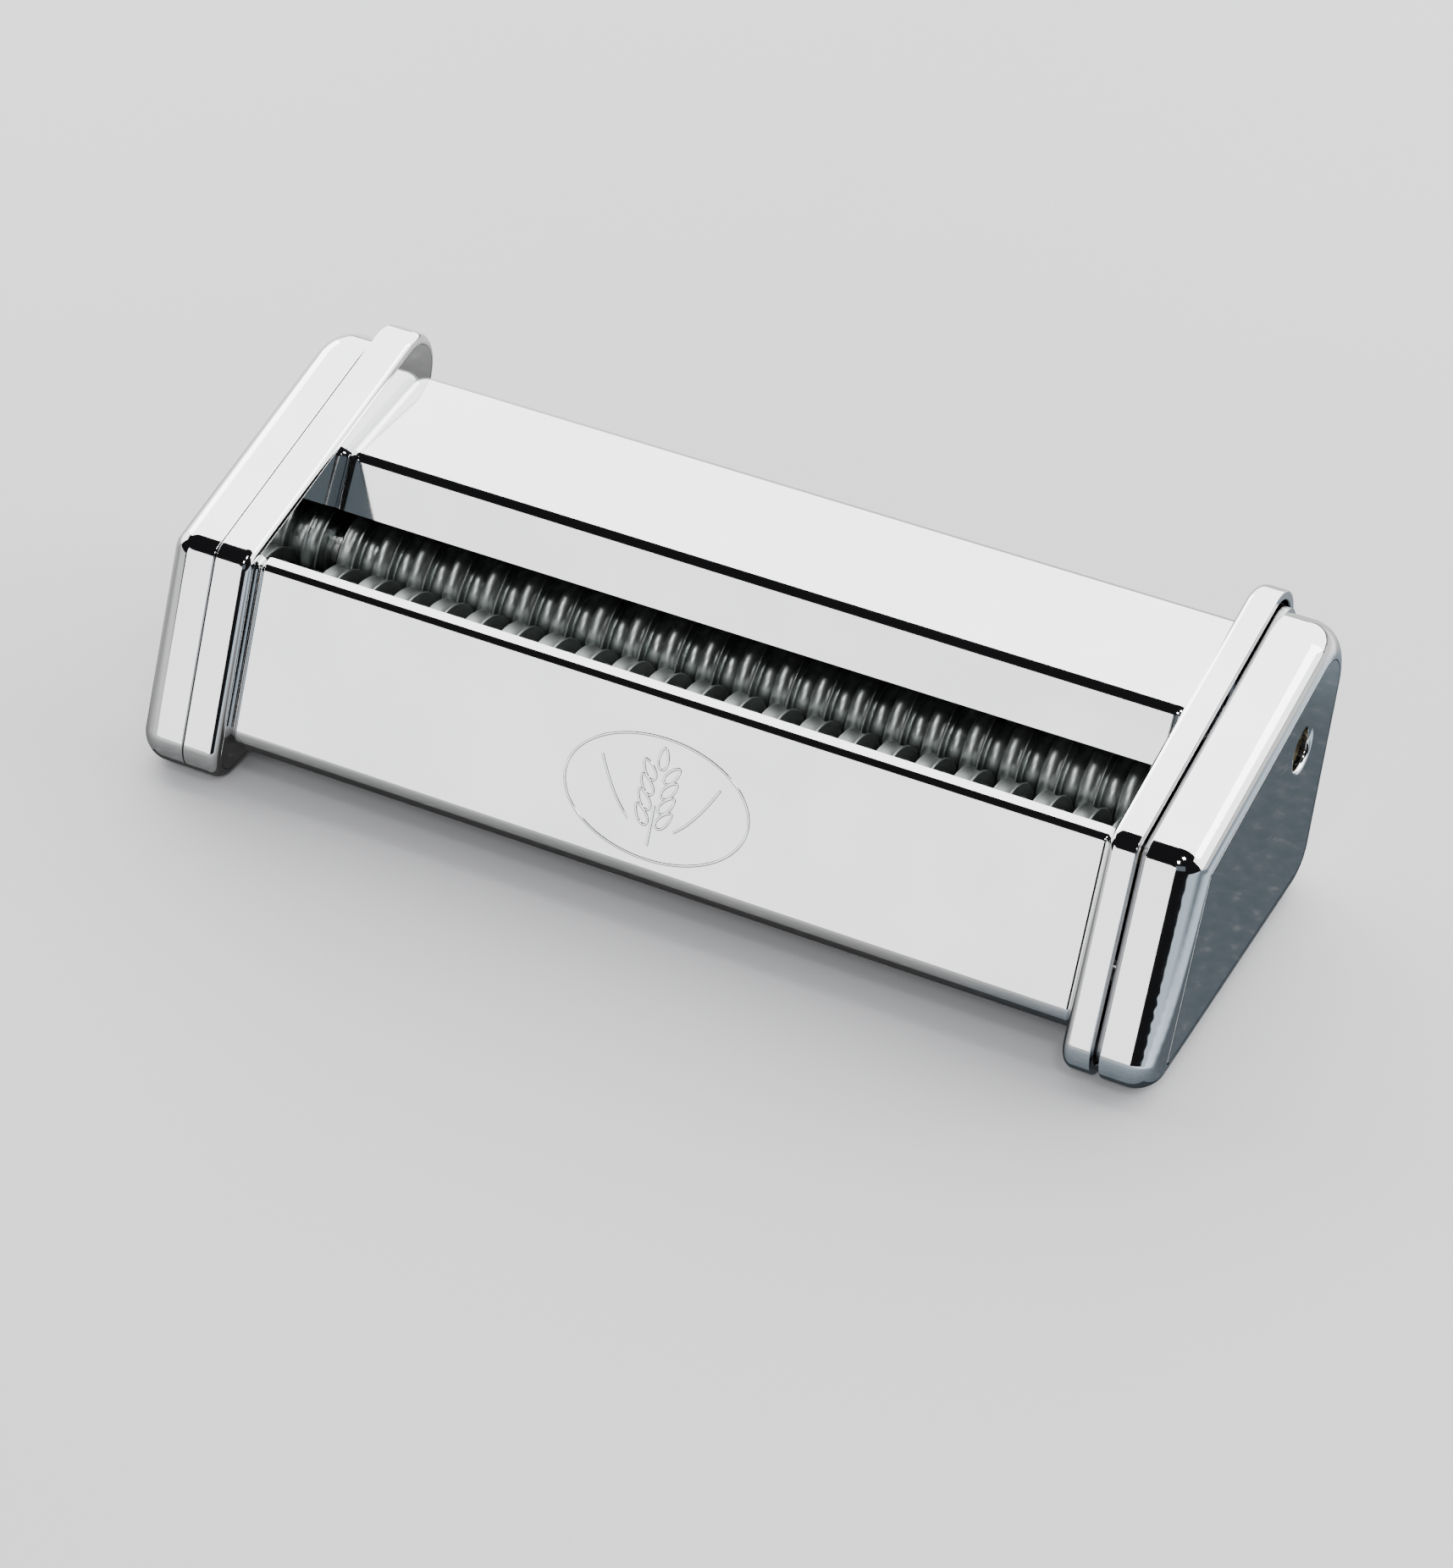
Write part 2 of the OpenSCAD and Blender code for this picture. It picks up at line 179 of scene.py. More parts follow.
class Builder:
    """Collects faces with a normal for every corner and turns each face to agree with its normals."""

    def __init__(self):
        self.verts, self.faces, self.normals = [], [], []

    def vert(self, p):
        self.verts.append(p)
        return len(self.verts) - 1

    def face(self, ids, normals):
        pts = [self.verts[i] for i in ids]
        flat = Vector((0, 0, 0))
        for i in range(1, len(pts) - 1):
            flat += (pts[i] - pts[0]).cross(pts[i + 1] - pts[0])
        mean = sum(normals, Vector((0, 0, 0)))
        if flat.dot(mean) < 0:
            ids, normals = ids[::-1], normals[::-1]
        self.faces.append(ids)
        self.normals.extend(normals)

    def sweep(self, profile, place, count, closed_profile=False, closed=True):
        """Carries a profile through count places, which place and place.normal work out."""
        pts = profile.points[:-1] if closed_profile else profile.points
        rings = [[self.vert(place(j, p)) for p in pts] for j in range(count)]
        spans = count if closed else count - 1
        for j in range(spans):
            k = (j + 1) % count
            for i, (na, nb) in enumerate(profile.normals):
                i2 = (i + 1) % len(pts)
                self.face(
                    [rings[j][i], rings[j][i2], rings[k][i2], rings[k][i]],
                    [place.normal(j, pts[i], na), place.normal(j, pts[i2], nb),
                     place.normal(k, pts[i2], nb), place.normal(k, pts[i], na)],
                )
        return rings

    def fill(self, outer, holes, normal):
        """A flat face with holes, between rings of vertices that exist already."""
        loops = [[self.verts[i] for i in ring] for ring in [outer] + holes]
        ids = [i for ring in [outer] + holes for i in ring]
        for tri in tessellate_polygon(loops):
            self.face([ids[t] for t in tri], [normal] * 3)

    def done(self, name, material, body, replaced=()):
        mesh = bpy.data.meshes.new(name)
        mesh.from_pydata([v * MM for v in self.verts], [], self.faces)
        mesh.polygons.foreach_set("use_smooth", [True] * len(mesh.polygons))
        mesh.normals_split_custom_set([tuple(n.normalized()) for n in self.normals])
        mesh.materials.append(material)
        piece = bpy.data.objects.new(name, mesh)
        bpy.context.scene.collection.objects.link(piece)
        if replaced:
            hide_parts(*replaced)
        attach(piece, body)
        return piece


def world(x, p):
    return Vector((x, p.x - MID_Y, p.y))


class AroundOutline:
    """Profile points are (distance along the length, inset); side is 1 at the right, -1 at the left."""

    def __init__(self, side, crown_r=CROWN_R):
        self.side, self.crown_r, self.cache = side, crown_r, {}

    def at(self, d):
        key = round(d, 4)
        if key not in self.cache:
            self.cache[key] = outline(d, self.crown_r)
        return self.cache[key]

    def __call__(self, j, p):
        return world(self.side * p.x, self.at(p.y)[j][0])

    def normal(self, j, p, n):
        q = self.at(p.y)[j][1]
        return Vector((self.side * n.x, -n.y * q.x, -n.y * q.y))


class AroundAxis:
    """Profile points are (distance along the length, radius)."""

    def __init__(self, axis, count, side=1):
        self.axis, self.count, self.side = axis, count, side

    def __call__(self, j, p):
        return world(self.side * p.x, self.axis + p.y * unit(360 * j / self.count))

    def normal(self, j, p, n):
        u = unit(360 * j / self.count)
        return Vector((self.side * n.x, n.y * u.x, n.y * u.y))


OUTLINE_COUNT = len(outline(0))
HOLE_STEPS = 48


# ---------------------------------------------------------------- materials
def new_material(name):
    m = bpy.data.materials.new(name)
    m.use_nodes = True
    return m, m.node_tree, m.node_tree.nodes["Principled BSDF"]


def noise(tree, scale, stretch=(1, 1, 1), detail=4.0, shift=0.0):
    coord = tree.nodes.new("ShaderNodeTexCoord")
    mapping = tree.nodes.new("ShaderNodeMapping")
    mapping.inputs["Scale"].default_value = stretch
    mapping.inputs["Location"].default_value = (shift, shift, shift)
    tex = tree.nodes.new("ShaderNodeTexNoise")
    tex.inputs["Scale"].default_value = scale
    tex.inputs["Detail"].default_value = detail
    tree.links.new(coord.outputs["Object"], mapping.inputs["Vector"])
    tree.links.new(mapping.outputs["Vector"], tex.inputs["Vector"])
    return tex.outputs["Fac"]


def ramp(tree, fac, stops):
    node = tree.nodes.new("ShaderNodeValToRGB")
    elements = node.color_ramp.elements
    elements[0].position, elements[-1].position = stops[0][0], stops[-1][0]
    for place, _ in stops[1:-1]:
        elements.new(place)
    for element, (_, value) in zip(elements, stops):
        element.color = (*value, 1) if isinstance(value, tuple) else (value, value, value, 1)
    tree.links.new(fac, node.inputs["Fac"])
    return node.outputs["Color"]


def bump(tree, height, strength, distance, below=None):
    node = tree.nodes.new("ShaderNodeBump")
    node.inputs["Strength"].default_value = strength
    node.inputs["Distance"].default_value = distance
    tree.links.new(height, node.inputs["Height"])
    if below is not None:
        tree.links.new(below, node.inputs["Normal"])
    return node.outputs["Normal"]


def metal(name, dark, light, rough, grain=(1, 1, 1), grain_scale=900, grain_bump=0.00002, waves=0.0):
    """Metal with cloudy colour, uneven roughness, fine grain or scratches, and slow sheet waves."""
    m, tree, shader = new_material(name)
    shader.inputs["Metallic"].default_value = 1.0
    cloud = noise(tree, 55, detail=6)
    tree.links.new(ramp(tree, cloud, [(0.3, dark), (0.7, light)]), shader.inputs["Base Color"])
    smear = noise(tree, 140, grain, 5, 3.0)
    tree.links.new(ramp(tree, smear, [(0.3, rough[0]), (0.75, rough[1])]), shader.inputs["Roughness"])
    fine = bump(tree, noise(tree, grain_scale, grain, 3, 7.0), 0.5, grain_bump)
    if waves:
        fine = bump(tree, noise(tree, 38, detail=1.5, shift=11.0), 1.0, waves, fine)
    tree.links.new(fine, shader.inputs["Normal"])
    return m


chrome = metal("chrome", (0.72, 0.73, 0.745), (0.79, 0.79, 0.80), (0.035, 0.075),
               grain_scale=700, grain_bump=0.0000012, waves=0.00005)
cover_chrome = metal("cover_chrome", (0.70, 0.71, 0.715), (0.775, 0.78, 0.78), (0.045, 0.10),
                     (0.12, 1, 1), 800, 0.0000015, 0.00003)
roller_metal = metal("roller_metal", (0.38, 0.41, 0.395), (0.52, 0.555, 0.535), (0.29, 0.38),
                     grain_scale=1500, grain_bump=0.0000015)
# painted shade: the front roller's steel is the rear roller's, made darker so its ring tops look shaded
# under the front cover
front_roller_shaded_metal = metal("front_roller_shaded_metal", (0.20, 0.218, 0.21), (0.30, 0.325, 0.315), (0.38, 0.48),
                           grain_scale=1500, grain_bump=0.0000015)
plate_metal = metal("plate_metal", (0.42, 0.42, 0.43), (0.55, 0.55, 0.56), (0.25, 0.42),
                    (1, 0.15, 0.15), 1600, 0.00001)
shaft_metal = metal("shaft_metal", (0.44, 0.44, 0.45), (0.60, 0.60, 0.61), (0.18, 0.30),
                    (4, 0.4, 0.4), 1200, 0.00001)
gear_metal = metal("gear_metal", (0.25, 0.25, 0.26), (0.38, 0.38, 0.39), (0.30, 0.50),
                   grain_scale=1400, grain_bump=0.00002)
rod_metal = metal("rod_metal", (0.50, 0.50, 0.49), (0.62, 0.62, 0.60), (0.22, 0.36),
                  (0.1, 1, 1), 1300, 0.00001)
clip_metal = metal("clip_metal", (0.05, 0.05, 0.055), (0.12, 0.12, 0.125), (0.30, 0.50))
bronze = metal("bronze", (0.15, 0.125, 0.07), (0.26, 0.22, 0.13), (0.35, 0.55),
               grain_scale=2400, grain_bump=0.00003)

plastic, plastic_tree, plastic_shader = new_material("comb_plastic")
plastic_tree.links.new(
    ramp(plastic_tree, noise(plastic_tree, 120, detail=5),
         [(0.3, (0.018, 0.018, 0.020)), (0.7, (0.034, 0.034, 0.036))]),
    plastic_shader.inputs["Base Color"])
plastic_tree.links.new(
    ramp(plastic_tree, noise(plastic_tree, 300, detail=3, shift=5), [(0.3, 0.38), (0.7, 0.58)]),
    plastic_shader.inputs["Roughness"])
plastic_tree.links.new(
    bump(plastic_tree, noise(plastic_tree, 2600, detail=2, shift=9), 0.6, 0.00004),
    plastic_shader.inputs["Normal"])


def with_arcs(base, name, centre, height):
    """A copy of a metal with faint patches of buffing arcs around a centre, height metres deep."""
    m = base.copy()
    m.name = name
    tree = m.node_tree
    coord = tree.nodes.new("ShaderNodeTexCoord")
    mapping = tree.nodes.new("ShaderNodeMapping")
    mapping.inputs["Location"].default_value = tuple(-c for c in centre)
    arcs = tree.nodes.new("ShaderNodeTexWave")
    arcs.wave_type, arcs.rings_direction = "RINGS", "X"
    arcs.inputs["Scale"].default_value = 160
    arcs.inputs["Distortion"].default_value = 3.0
    arcs.inputs["Detail"].default_value = 2.0
    arcs.inputs["Detail Scale"].default_value = 0.6
    tree.links.new(coord.outputs["Object"], mapping.inputs["Vector"])
    tree.links.new(mapping.outputs["Vector"], arcs.inputs["Vector"])
    patches = tree.nodes.new("ShaderNodeMath")
    patches.operation = "MULTIPLY"
    tree.links.new(arcs.outputs["Fac"], patches.inputs[0])
    mask = ramp(tree, noise(tree, 70, detail=1, shift=4), [(0.45, 0.0), (0.7, 1.0)])
    tree.links.new(mask, patches.inputs[1])
    shader = tree.nodes["Principled BSDF"]
    below = shader.inputs["Normal"].links[0].from_socket
    tree.links.new(bump(tree, patches.outputs[0], 0.5, height, below), shader.inputs["Normal"])
    return m


cap_chrome = with_arcs(chrome, "cap_chrome", (0.0, 0.012, 0.048), 0.000012)

SLOT_MATERIALS = {
    "housing_chrome": chrome, "cover_chrome": cover_chrome, "plate_steel": plate_metal,
    "roller_steel": roller_metal, "shaft_steel": shaft_metal, "gear_steel": gear_metal,
    "clip_steel": clip_metal, "rod_steel": rod_metal, "comb_plastic": plastic, "bush_bronze": bronze,
}
for part in frame["record"]["subparts"]:
    data = nodes[part["node"]].data
    data.materials.clear()
    data.materials.append(SLOT_MATERIALS[part["material_slot"]])

# ---------------------------------------------------------------- end caps
CAP_EDGE_R = 5.3
RIM_R = 0.25
RIM_STEPS, EDGE_STEPS, INNER_EDGE_STEPS = 4, 20, 12
CRANK_HOLE_R, FLARE = 3.8, 0.8


def end_cap(side, name, material, crank_hole):
    """A cup with a thick rim: wall inside, rim at the seam, skin and the big rounded edge."""
    b = Builder()
    place = AroundOutline(side, CAP_CROWN_R)
    inside = CAP_X1 - WALL
    turn_x = CAP_X1 - CAP_EDGE_R
    shell = Profile((inside, CAP_EDGE_R))
    shell.arc((turn_x, CAP_EDGE_R), 0, -90, INNER_EDGE_STEPS)
    shell.line((CAP_X0 + RIM_R, WALL)).arc((CAP_X0 + RIM_R, WALL - RIM_R), 90, 180, RIM_STEPS)
    shell.line((CAP_X0, RIM_R)).arc((CAP_X0 + RIM_R, RIM_R), 180, 270, RIM_STEPS)
    shell.line((turn_x, 0)).arc((turn_x, CAP_EDGE_R), -90, 0, EDGE_STEPS)
    rings = b.sweep(shell, place, OUTLINE_COUNT)
    inner_ring, outer_ring = [r[0] for r in rings], [r[-1] for r in rings]
    inner_holes, outer_holes = [], []
    if crank_hole:
        lip_r = CRANK_HOLE_R + FLARE
        lip = Profile((CAP_X1, lip_r)).arc((CAP_X1 - FLARE, lip_r), 0, -90)
        lip.line((inside, CRANK_HOLE_R))
        hole = b.sweep(lip, AroundAxis(SPINDLE, HOLE_STEPS, side), HOLE_STEPS)
        outer_holes.append([r[0] for r in hole])
        inner_holes.append([r[-1] for r in hole])
    b.fill(outer_ring, outer_holes, Vector((side, 0, 0)))
    b.fill(inner_ring, inner_holes, Vector((-side, 0, 0)))
    return b.done(name + "_shell", material, "frame", (name,))


end_cap(1, "right_end_cap", cap_chrome, True)
end_cap(-1, "left_end_cap", chrome, False)

# ---------------------------------------------------------------- bezels
ROLL_R, ROLL_STEPS = 1.9, 12
HOLE_EDGE = 0.15
FIT = 0.01
SHAFT_HOLE_R, ROD_HOLE_R = 4.6, 2.6


def bezel(side, name, end_x):
    """A shallow cup: its flat wall closes the slot's end, its band shows between cover and cap."""
    b = Builder()
    place = AroundOutline(side)
    x0 = INNER_X + FIT
    shell = Profile((x0, ROLL_R)).arc((x0 + ROLL_R, ROLL_R), 180, 270, ROLL_STEPS)
    shell.line((end_x - RIM_R, 0)).arc((end_x - RIM_R, RIM_R), 270, 360, RIM_STEPS)
    shell.line((end_x, WALL - RIM_R)).arc((end_x - RIM_R, WALL - RIM_R), 0, 90, RIM_STEPS)
    shell.line((x0 + ROLL_R, WALL)).line((x0 + WALL, ROLL_R))
    rings = b.sweep(shell, place, OUTLINE_COUNT)
    rods = ("front_tie_rod", "rear_tie_rod", "back_tie_rod")
    holes = [(FRONT_AXIS, SHAFT_HOLE_R), (REAR_AXIS, SHAFT_HOLE_R)]
    holes += [(node_centre(rod), ROD_HOLE_R) for rod in rods]
    near, far = [], []
    for axis, r in holes:
        edge = Profile((x0, r + HOLE_EDGE)).line((x0 + HOLE_EDGE, r))
        edge.line((x0 + WALL - HOLE_EDGE, r)).line((x0 + WALL, r + HOLE_EDGE))
        ring = b.sweep(edge, AroundAxis(axis, HOLE_STEPS, side), HOLE_STEPS)
        near.append([q[0] for q in ring])
        far.append([q[-1] for q in ring])
    b.fill([r[0] for r in rings], near, Vector((-side, 0, 0)))
    b.fill([r[-1] for r in rings], far, Vector((side, 0, 0)))
    return b.done(name + "_hoop", chrome, "frame", (name,))


bezel(1, "right_bezel", BEZEL_X1)
bezel(-1, "left_bezel", LEFT_BEZEL_X1)

# ---------------------------------------------------------------- cover sheets
DROOP, DROOP_STEPS = 0.9, 6
FRONT_DROOP_W, REAR_DROOP_W = 1.5, 2.6


class AlongLength:
    """Carries a cover's section along the length; its last droop_w sinks by DROOP at each bezel."""

    def __init__(self, half, droop_w):
        fine = [half - droop_w * (1 - i / DROOP_STEPS) for i in range(DROOP_STEPS + 1)]
        self.stations = [-x for x in reversed(fine)] + fine
        self.half, self.droop_w = half, droop_w
        self.down = {}

    def sink(self, x):
        t = max(0.0, (abs(x) - (self.half - self.droop_w)) / self.droop_w)
        slope = 2 * DROOP * t / self.droop_w * (1 if x > 0 else -1)
        return DROOP * t * t, slope

    def __call__(self, j, p):
        x = self.stations[j]
        return world(x, p - self.sink(x)[0] * self.down[self.key(p)])

    def normal(self, j, p, n):
        slope = self.sink(self.stations[j])[1]
        return Vector((slope * n.dot(self.down[self.key(p)]), n.x, n.y))

    @staticmethod
    def key(p):
        return (round(p.x, 5), round(p.y, 5))


def cover(name, path, droop_w, extra=None):
    """path holds places on the outer surface with their normals; the sheet lies below it."""
    b = Builder()
    place = AlongLength(INNER_X, droop_w)
    count = len(path)
    loop = path + [(p - SHEET * n, -n) for p, n in reversed(path)]
    section = Profile(path[0][0])
    for i, (p, n) in enumerate(loop):
        q, m = loop[(i + 1) % len(loop)]
        if i in (count - 1, len(loop) - 1):
            section.line(q)
        else:
            section.points.append(q)
            section.normals.append((n, m))
        place.down[place.key(p)] = n if i < count else -n
    rings = b.sweep(section, place, len(place.stations), closed_profile=True, closed=False)
    for ring, side in ((rings[0], -1), (rings[-1], 1)):
        for i in range(count - 1):
            quad = [ring[i], ring[i + 1], ring[2 * count - 2 - i], ring[2 * count - 1 - i]]
            b.face(quad, [Vector((side, 0, 0))] * 4)
    if extra:
        extra(b)
    return b.done(name + "_sheet", cover_chrome, "frame", (name,))


# front cover: a curled foot, the leaning face, a fold and a short lip above the rollers
FRONT_INSET, FOLD_Z, CURL_Z, CURL_R, CURL_FLAT = 3.2, 36.9, 4.6, 4.0, 4.0
FOLD_R, LIP, LIP_LEN = 1.9, 6.5, 2.5
CURL_STEPS, FOLD_STEPS = 20, 12
curl = inner_corner(TOE, BASE, CURL_Z, FRONT, FRONT_INSET)
fold = meet(curl, FRONT, Vector((0, FOLD_Z)), 0)
foot = CURL_FLAT + CURL_R * math.tan(math.radians((BASE - FRONT) / 2))
front_path = [(curl + Vector((foot, 0)), Vector((0, -1)))]
front_path += bend(curl, BASE, FRONT, CURL_R, CURL_STEPS)
front_path += bend(fold, FRONT, LIP, FOLD_R, FOLD_STEPS)
front_path += [(fold + LIP_LEN * unit(LIP), -inward(LIP))]

# rear cover: the slope down to the rollers, the top face and the back wall
FUNNEL, FUNNEL_LEN, FUNNEL_R = 57.0, 10.1, 2.6
TOP_SLOPE, BACK_INSET, BEND_R, BACK_LOW_Z = 4.4, 3.0, 4.6, 9.0
FUNNEL_STEPS, BEND_STEPS = 12, 20
funnel_top = Vector((50.3, 41.6))
rear_corner = meet(funnel_top, TOP_SLOPE, HEEL + BACK_INSET * inward(BACK - 180), BACK - 180)
back_low = meet(rear_corner, BACK, Vector((0, BACK_LOW_Z)), 0)
rear_path = [(funnel_top - FUNNEL_LEN * unit(FUNNEL), -inward(FUNNEL))]
rear_path += bend(funnel_top, FUNNEL, TOP_SLOPE, FUNNEL_R, FUNNEL_STEPS)
rear_path += bend(rear_corner, TOP_SLOPE, BACK - 180, BEND_R, BEND_STEPS)
rear_path += [(back_low, -inward(BACK - 180))]


# a generic ear of wheat in an oval, drawn with raised ribs on the front cover
EMBLEM_X, EMBLEM_UP = 1.0, 18.0
OVAL_HALF, OVAL_STEPS = (17, 10.5), 96
GRAIN_LEN, GRAIN_W, GRAIN_STEPS, GRAIN_TILT = 1.9, 0.85, 28, 36
GRAIN_X, GRAIN_LOW, GRAIN_GAP, GRAIN_PAIRS, GRAIN_TOP = 2.1, -3.2, 2.6, 4, 7.0
STEM_LOW, STEM_POINTS = -8.2, 8
LEAF_X, LEAF_LOW, LEAF_OUT, LEAF_UP, LEAF_BEND, LEAF_POINTS = 4.2, -4.6, 0.75, 0.55, 0.055, 10
RIB_W, RIB_H, RIB_SUNK, RIB_STEPS = 0.26, 0.18, 0.02, 6
RIB_LEAN, RIB_LIFT = 0.6, 0.3


def oval(half, count):
    turns = [2 * math.pi * i / count for i in range(count)]
    return [Vector((half[0] * math.cos(t), half[1] * math.sin(t))) for t in turns]


def emblem(b):
    across, up = Vector((1, 0, 0)), Vector((0, unit(FRONT).x, unit(FRONT).y))
    out = Vector((0, -inward(FRONT).x, -inward(FRONT).y))
    origin = world(EMBLEM_X, curl + EMBLEM_UP * unit(FRONT))

    def rib(points, closed):
        count = len(points)
        rings = []
        for i, p in enumerate(points):
            a = points[i - 1] if closed or i else p
            c = points[(i + 1) % count] if closed or i < count - 1 else p
            t = (c - a).normalized()
            side = Vector((-t.y, t.x))
            ring = []
            for k in range(RIB_STEPS + 1):
                turn = math.pi * k / RIB_STEPS
                w, h = RIB_W * math.cos(turn), RIB_H * math.sin(turn) - RIB_SUNK
                q = p + side * w
                sideways = (across * side.x + up * side.y) * math.cos(turn) * RIB_LEAN
                normal = sideways + out * math.sin(turn) + out * RIB_LIFT
                ring.append((b.vert(origin + across * q.x + up * q.y + out * h), normal))
            rings.append(ring)
        for i in range(count if closed else count - 1):
            r0, r1 = rings[i], rings[(i + 1) % count]
            for k in range(RIB_STEPS):
                quad = (r0[k], r0[k + 1], r1[k + 1], r1[k])
                b.face([v for v, _ in quad], [n for _, n in quad])
            b.face([r0[0][0], r0[-1][0], r1[-1][0], r1[0][0]], [-out] * 4)
        if not closed:
            for ring, sign in ((rings[0], -1), (rings[-1], 1)):
                t = (points[1] - points[0]) if sign < 0 else (points[-1] - points[-2])
                n = (across * t.x + up * t.y).normalized() * sign
                b.face([v for v, _ in ring], [n] * len(ring))

    rib(oval(OVAL_HALF, OVAL_STEPS), True)
    rib([Vector((0.0, STEM_LOW + i)) for i in range(STEM_POINTS)], False)

    def grain(centre, tilt):
        u, v = unit(tilt), unit(tilt + 90)
        egg = [(q.x, q.y * (1 - 0.25 * q.x)) for q in oval((1, 1), GRAIN_STEPS)]
        rib([centre + u * (GRAIN_LEN * x) + v * (GRAIN_W * y) for x, y in egg], True)

    for i in range(GRAIN_PAIRS):
        for hand in (1, -1):
            grain(Vector((hand * GRAIN_X, GRAIN_LOW + GRAIN_GAP * i)), 90 - hand * GRAIN_TILT)
    grain(Vector((0, GRAIN_TOP)), 90)
    for hand in (1, -1):
        leaf = [(LEAF_X + LEAF_OUT * i, LEAF_LOW + LEAF_UP * i + LEAF_BEND * i * i)
                for i in range(LEAF_POINTS)]
        rib([Vector((hand * x, y)) for x, y in leaf], False)


cover("front_cover", front_path, FRONT_DROOP_W, emblem)
cover("rear_cover", rear_path, REAR_DROOP_W)

# ---------------------------------------------------------------- rollers
ROLLER_R, GROOVE, RING_W, PITCH, CHANNEL_R = 10.15, 2.3, 3.3, 7.04, 2.1
RINGS, RIM_FLAT, EDGE, BORE, ROLLERS_X = 22, 0.2, 0.12, 4.01, 0.25
LEAST_CHANNEL = 2.5
ROLLER_STEPS, CHANNEL_STEPS, RIM_EDGE_STEPS = 128, 10, 3


def channel(profile, x0, x1, r):
    """A concave channel between flat rims, from x0 to x1 at radius r."""
    a, c = x0 + RIM_FLAT, x1 - RIM_FLAT
    half = (c - a) / 2
    sink = math.sqrt(CHANNEL_R ** 2 - half ** 2)
    spread = math.degrees(math.asin(half / CHANNEL_R))
    profile.line((a, r)).arc(((a + c) / 2, r + sink), -90 - spread, -90 + spread, CHANNEL_STEPS)
    profile.line((x1, r))


def groove(profile, x0, x1, r):
    """The floor between two rings: a channel, or plain where it is too narrow for one."""
    if x1 - x0 > LEAST_CHANNEL:
        channel(profile, x0, x1, r)
    else:
        profile.line((x1, r))


def roller(name, axis, side, body, material):
    """Both rollers are alike; side is the way the ring pattern is shifted."""
    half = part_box(name)[1][0] / MM
    core = ROLLER_R - GROOVE
    places = [(i - (RINGS - 1) / 2) * PITCH + side * PITCH / 4 + ROLLERS_X for i in range(RINGS)]
    profile = Profile((-half, BORE)).line((-half, core))
    x = -half
    for place in places:
        x0, x1 = place - RING_W / 2, place + RING_W / 2
        groove(profile, x, x0, core)
        profile.line((x0, ROLLER_R - EDGE))
        profile.arc((x0 + EDGE, ROLLER_R - EDGE), 180, 90, RIM_EDGE_STEPS)
        channel(profile, x0 + EDGE, x1 - EDGE, ROLLER_R)
        profile.arc((x1 - EDGE, ROLLER_R - EDGE), 90, 0, RIM_EDGE_STEPS).line((x1, core))
        x = x1
    groove(profile, x, half, core)
    profile.line((half, BORE)).line((-half, BORE))
    b = Builder()
    b.sweep(profile, AroundAxis(axis, ROLLER_STEPS), ROLLER_STEPS, closed_profile=True)
    return b.done(name + "_rings", material, body, (name,))


roller("rear_roller", REAR_AXIS, -1, "rear_roller_unit", roller_metal)
# the front roller takes the darker copy of the steel, its painted shade
roller("front_roller", FRONT_AXIS, 1, "front_roller_unit", front_roller_shaded_metal)

# ---------------------------------------------------------------- camera
CAMERA_AZIMUTH, CAMERA_ELEVATION, CAMERA_LENS = 27.4, 39.1, 113.7
CAMERA_PLACE = (0.3016, -0.5837, 0.5368)

camera = bpy.data.cameras.new("camera")
camera.sensor_width = 36.0
camera.lens = CAMERA_LENS
camera.clip_start = 0.05
camera.clip_end = 50.0
camera_object = bpy.data.objects.new("camera", camera)
bpy.context.scene.collection.objects.link(camera_object)
azimuth, elevation = math.radians(CAMERA_AZIMUTH), math.radians(CAMERA_ELEVATION)
back = Vector((math.sin(azimuth) * math.cos(elevation),
               -math.cos(azimuth) * math.cos(elevation), math.sin(elevation)))
camera_object.location = CAMERA_PLACE
camera_object.rotation_mode = "QUATERNION"
camera_object.rotation_quaternion = (-back).to_track_quat("-Z", "Y")
bpy.context.scene.camera = camera_object

# ---------------------------------------------------------------- stage and light
FLOOR_HALF = 12
floor_mesh = bpy.data.meshes.new("floor")
corners = ((-1, -1), (1, -1), (1, 1), (-1, 1))
floor_mesh.from_pydata([(x * FLOOR_HALF, y * FLOOR_HALF, 0) for x, y in corners], [], [(0, 1, 2, 3)])
floor_material, floor_tree, floor_shader = new_material("floor")
floor_tree.links.new(
    ramp(floor_tree, noise(floor_tree, 4, detail=2),
         [(0.3, (0.50, 0.50, 0.51)), (0.7, (0.52, 0.52, 0.53))]),
    floor_shader.inputs["Base Color"])
floor_shader.inputs["Roughness"].default_value = 0.55

# Polished metal mirrors the floor as a painted reflection instead: speckled dark stone that glows,
# so that the chrome keeps its contrast. Its brightness is painted light: brighter ahead, behind and
# beside the object where the stone would mirror the lamps, and darker under it as painted shade. Each
# stretch of it has a start and an end, in metres, and the strengths there; the painted reflection
# is blue to the right of the object and grey elsewhere.
AHEAD, AHEAD_FAR = (-0.008, 0.014, 0.0, 0.24), (0.006, 0.06, 0.0, 0.35)
BEHIND, BEHIND_FAR = (0.06, 0.16, 0.0, 1.0), (0.4, 1.2, 1.0, 0.3)
RIGHT, RIGHT_FAR = (0.116, 0.130, 0.0, 0.9), (0.145, 0.20, 1.0, 0.15)
LEFT, LEFT_AHEAD = (-0.13, -0.09, 0.8, 0.0), (-0.03, 0.03, 0.4, 1.0)
GREY_LEFT, GREY_BEHIND = (0.04, 0.09, 1.0, 0.0), (0.09, 0.12, 0.0, 1.0)
PAINTED_REFLECTION_BASE, UNDER_SHADE = 0.165, 0.7

floor_coord = floor_tree.nodes.new("ShaderNodeTexCoord")
floor_xyz = floor_tree.nodes.new("ShaderNodeSeparateXYZ")
floor_tree.links.new(floor_coord.outputs["Object"], floor_xyz.inputs["Vector"])


